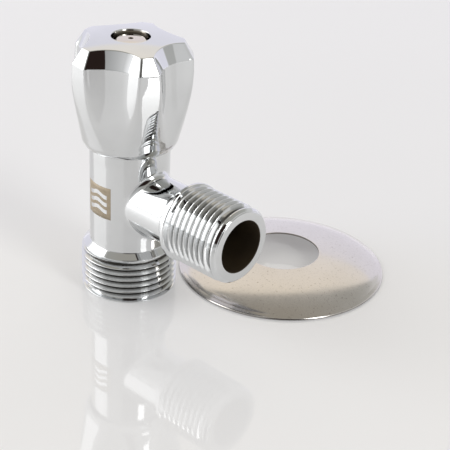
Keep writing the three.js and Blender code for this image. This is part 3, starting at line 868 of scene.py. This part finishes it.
def maths(tree, operation, *values):
    node = tree.nodes.new("ShaderNodeMath")
    node.operation = operation
    for socket, value in zip(node.inputs, values):
        if isinstance(value, (int, float)):
            socket.default_value = value
        else:
            link(tree, value, socket)
    return node.outputs["Value"]


def near_middle(tree, value, reach):
    """1 where a value is closer to a half than reach, otherwise 0."""
    distance = maths(tree, "ABSOLUTE", maths(tree, "SUBTRACT", value, 0.5))
    return maths(tree, "LESS_THAN", distance, reach)


def etched_badge():
    """Beige etching with three bare chrome ripples inside a plain border. u and v run from 0 to 1
    across and up the square."""
    material, tree, shader = new_material("etched_badge")
    uv = tree.nodes.new("ShaderNodeUVMap")
    uv.uv_map = "badge"
    split = tree.nodes.new("ShaderNodeSeparateXYZ")
    link(tree, uv.outputs["UV"], split.inputs["Vector"])
    u, v = split.outputs["X"], split.outputs["Y"]
    wave = maths(tree, "MULTIPLY", maths(tree, "SINE", maths(tree, "MULTIPLY", u, TAU * 1.5)), 0.045)
    height = maths(tree, "ADD", v, wave)
    ripples = maths(tree, "MULTIPLY", maths(tree, "SUBTRACT", height, 0.155), 1 / 0.23)
    stripe = near_middle(tree, maths(tree, "FRACT", ripples), 0.27)
    near_u = near_middle(tree, u, 0.37)
    near_v = near_middle(tree, height, 0.345)
    bare = maths(tree, "MULTIPLY", stripe, maths(tree, "MULTIPLY", near_u, near_v))
    mottle = ramp(tree, noise(tree, 900, 3), [(0.3, (0.40, 0.33, 0.235)), (0.7, (0.46, 0.385, 0.285))])
    link(tree, mixed(tree, bare, mottle, (0.72, 0.73, 0.735)), shader.inputs["Base Color"])
    link(tree, remap(tree, bare, 0.5, 0.06), shader.inputs["Roughness"])
    link(tree, remap(tree, bare, 0.35, 1.0), shader.inputs["Metallic"])
    return material


# ---------------------------------------------------------------- pieces on the frame

bright = chrome("chrome_body")
polished = chrome("chrome_handle", 0.15, (0.02, 0.05))

raw_casting = moulded("raw_casting", (0.03, 0.02, 0.009), (0.048, 0.032, 0.015), 0.6, 400)
body = make_body(bright, raw_casting)
handle = make_handle(polished)
cap = make_cap(chrome("chrome_cap", 0.3, (0.05, 0.1), (1, 0.9, 0.78)))
plate = make_plate(spun_stainless())
badge = make_badge(etched_badge())

for piece, carrier, node, slot_name in (
        (body, "valve", "valve_body", "chromed_brass"),
        (handle, "handle", "handle_shell", "chromed_zinc"),
        (cap, "handle", "handle_cap", "chromed_zinc"),
        (plate, "escutcheon", "escutcheon", "spun_stainless")):
    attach(piece, carrier)
    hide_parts(node)
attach(badge, "valve")

brass = turned_metal("turned_brass", (0.42, 0.29, 0.12), (0.58, 0.42, 0.19), 0.35)
zinc = turned_metal("zinc_steel", (0.55, 0.56, 0.57), (0.70, 0.71, 0.72), 0.3)
rubber = moulded("black_rubber", (0.012, 0.012, 0.013), (0.03, 0.03, 0.032), 0.6)
fibre = moulded("red_fibre", (0.30, 0.07, 0.045), (0.42, 0.13, 0.09), 0.8, 900)
white_plastic = moulded("slip_plastic", (0.80, 0.80, 0.77), (0.88, 0.88, 0.85), 0.4)
hub_plastic = moulded("hub_plastic", (0.70, 0.69, 0.63), (0.80, 0.79, 0.73), 0.5)

INNER = {
    "bonnet": brass, "spindle": brass, "plunger": brass, "seat_washer_screw": brass,
    "spindle_circlip": zinc, "handle_screw": zinc, "handle_screw_washer": zinc,
    "spindle_o_ring_lower": rubber, "spindle_o_ring_upper": rubber, "seat_washer": rubber,
    "bonnet_gasket": fibre, "spindle_thrust_washer": white_plastic, "handle_insert": hub_plastic,
}
for node, material in INNER.items():
    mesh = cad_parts[node].data
    mesh.materials.clear()
    mesh.materials.append(material)


# ---------------------------------------------------------------- studio

def floor_material():
    """Pale glossy acrylic over a light box."""
    material, tree, shader = new_material("pale_acrylic")
    tint = ramp(tree, noise(tree, 3, 2), [(0.3, (0.66, 0.66, 0.66)), (0.7, (0.68, 0.68, 0.68))])
    link(tree, tint, shader.inputs["Base Color"])
    shader.inputs["Emission Color"].default_value = (0.99, 0.98, 1.0, 1)
    shader.inputs["Emission Strength"].default_value = 0.215
    link(tree, remap(tree, noise(tree, 40, 3), 0.02, 0.05), shader.inputs["Roughness"])
    shader.inputs["IOR"].default_value = 1.6
    return material


def make_floor():
    work = bmesh.new()
    bmesh.ops.create_circle(work, cap_ends=True, radius=3.0, segments=96)
    mesh = bpy.data.meshes.new("studio_floor")
    work.to_mesh(mesh)
    work.free()
    floor = bpy.data.objects.new("studio_floor", mesh)
    bpy.context.collection.objects.link(floor)
    mesh.materials.append(floor_material())
    floor.location.z = -0.00005


def toward(azimuth, elevation):
    """The unit direction at an azimuth from +X and a height above the floor, in degrees."""
    a, e = math.radians(azimuth), math.radians(elevation)
    return Vector((math.cos(a) * math.cos(e), math.sin(a) * math.cos(e), math.sin(e)))


LIGHT_DISTANCE = 1.1  # metres


def soft_box(name, direction, degrees, radiance):
    """A rectangular light that fills the given width and height, in degrees, as the object sees it."""
    size = [2 * LIGHT_DISTANCE * math.tan(math.radians(angle) / 2) for angle in degrees]
    light = bpy.data.lights.new(name, "AREA")
    light.shape = "RECTANGLE"
    light.size, light.size_y = size
    light.energy = radiance * math.pi * size[0] * size[1]
    thing = bpy.data.objects.new(name, light)
    bpy.context.collection.objects.link(thing)
    thing.location = direction * LIGHT_DISTANCE
    thing.rotation_mode = "QUATERNION"
    thing.rotation_quaternion = (-direction).to_track_quat("-Z", "Y")


# What stands round the object, by the sine of the height above the floor
BACKDROP = [(0.0, (0.80, 0.79, 0.88)), (0.30, (0.79, 0.78, 0.86)), (0.46, (0.79, 0.78, 0.85)),
            (0.50, (0.84, 0.80, 0.76)), (0.82, (0.85, 0.78, 0.67))]
ROOM = [(0.0, (0.58, 0.58, 0.57)), (0.42, (0.635, 0.635, 0.635)), (0.57, (0.42, 0.42, 0.40)),
        (0.80, (0.37, 0.365, 0.34)), (1.0, (0.315, 0.295, 0.255))]
BACKDROP_MIDDLE = toward(142, 14)
FOOT_SIDE = toward(128, 0)  # the backdrop's foot reaches 62 degrees either side of this
STAND = toward(52, 9)  # a small grey thing in the room
CAMERA_SIDE = toward(-48, 10)
LEFT_SIDE = toward(-140, 18)
FLAG_MIDDLE = toward(-40, 31)
FLAG_ACROSS = toward(50, 0)


def make_world():
    """A pale backdrop with a wider foot behind the object, a dimmer room that darkens towards the
    camera, a grey stand, a glow round the left light, and a dark flag where the camera is."""
    world = bpy.data.worlds.new("studio")
    bpy.context.scene.world = world
    world.use_nodes = True
    tree = world.node_tree
    direction = tree.nodes.new("ShaderNodeTexCoord").outputs["Generated"]
    split = tree.nodes.new("ShaderNodeSeparateXYZ")
    link(tree, direction, split.inputs["Vector"])

    def along(axis):
        dot = tree.nodes.new("ShaderNodeVectorMath")
        dot.operation = "DOT_PRODUCT"
        dot.inputs[1].default_value = axis
        link(tree, direction, dot.inputs[0])
        return dot.outputs["Value"]

    height = split.outputs["Z"]
    room = ramp(tree, height, ROOM)
    shade = remap(tree, along(CAMERA_SIDE), 0, 0.5, 0.65, 1.0)
    room = mixed(tree, shade, room, (0.10, 0.10, 0.10))
    glow = remap(tree, along(LEFT_SIDE), 0, 1, 0.80, 0.95)
    room = mixed(tree, glow, room, (1.15, 1.15, 1.16))
    stand = remap(tree, along(STAND), 0, 1, 0.972, 0.98)
    room = mixed(tree, stand, room, (0.44, 0.44, 0.43))
    backdrop = remap(tree, along(BACKDROP_MIDDLE), 0, 1, 0.69, 0.72)
    low = remap(tree, height, 1, 0, 0.2, 0.24)
    foot = maths(tree, "MULTIPLY", low, remap(tree, along(FOOT_SIDE), 0, 1, 0.46, 0.48))
    backdrop = maths(tree, "MAXIMUM", backdrop, foot)
    room = mixed(tree, backdrop, room, ramp(tree, height, BACKDROP))
    across = remap(tree, maths(tree, "ABSOLUTE", along(FLAG_ACROSS)), 1, 0, 0.29, 0.31)
    near = remap(tree, along(FLAG_MIDDLE), 0, 1, 0.90, 0.91)
    room = mixed(tree, maths(tree, "MULTIPLY", across, near), room, (0.022, 0.014, 0.012))
    link(tree, room, tree.nodes["Background"].inputs["Color"])
    tree.nodes["Background"].inputs["Strength"].default_value = 1.17


# Camera of the product shot, about the valve's axis
CAMERA_AZIMUTH = math.radians(41.96)
CAMERA_ELEVATION = math.radians(28.211)
CAMERA_ROLL = math.radians(2.771)
CAMERA_DISTANCE = 354.73
CAMERA_PAN = (26.414, 16.496)
CAMERA_LENS = 100.18


def make_camera():
    a, e = CAMERA_AZIMUTH, CAMERA_ELEVATION
    back = Vector((math.sin(a) * math.cos(e), -math.cos(a) * math.cos(e), math.sin(e)))
    right = Vector((math.cos(a), math.sin(a), 0))
    up = back.cross(right)
    place = (right * CAMERA_PAN[0] + up * CAMERA_PAN[1] + back * CAMERA_DISTANCE + Vector(VALVE_AT)) * MM
    turned_right = right * math.cos(CAMERA_ROLL) + up * math.sin(CAMERA_ROLL)
    turned_up = up * math.cos(CAMERA_ROLL) - right * math.sin(CAMERA_ROLL)
    data = bpy.data.cameras.new("camera")
    data.lens = CAMERA_LENS
    data.sensor_width = 36
    data.clip_start, data.clip_end = 0.01, 20
    camera = bpy.data.objects.new("camera", data)
    bpy.context.collection.objects.link(camera)
    pose = Matrix((turned_right, turned_up, back)).transposed().to_4x4()
    pose.translation = place
    camera.matrix_world = pose
    bpy.context.scene.camera = camera


bpy.context.scene.view_settings.view_transform = "Standard"
make_floor()
make_world()
soft_box("left_light", toward(-140, 26), (46, 46), 1.5)
soft_box("right_light", toward(-3, 32), (15, 36), 5.5)
make_camera()
